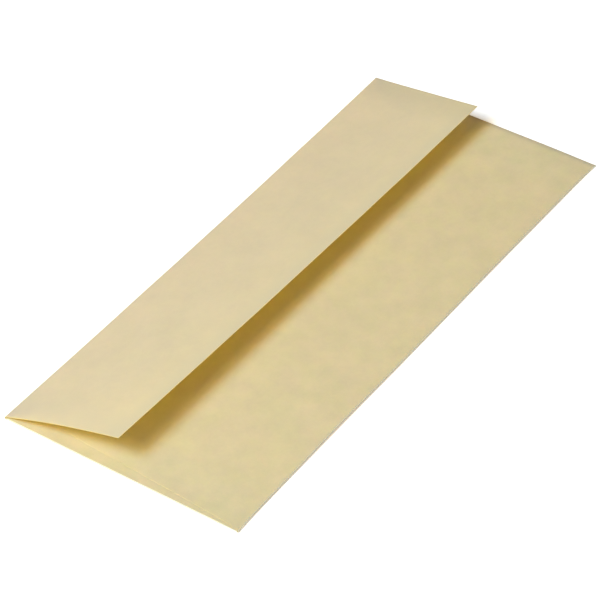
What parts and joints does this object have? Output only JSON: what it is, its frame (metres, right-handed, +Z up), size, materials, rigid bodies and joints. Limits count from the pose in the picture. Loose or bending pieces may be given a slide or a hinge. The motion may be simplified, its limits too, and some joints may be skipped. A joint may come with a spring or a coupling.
{
  "type": "paper envelope",
  "caption": "Long empty business envelope of cream paper, lying on its front, with its straight seal flap half lifted from the back",
  "frame": {"origin": "centre of the envelope's outline, on the table that its front lies on", "axes": "+X along the long side, from the end where the flap stands higher to the other end; +Y from the bottom fold to the flap fold; +Z up, out of the back of the envelope"},
  "size_m": [0.2414, 0.1048, 0.0139],
  "materials": {
    "paper": "matte, lightly mottled parchment-like paper"
  },
  "bodies": {
    "root": {"envelope": "paper"}
  },
  "joints": []
}
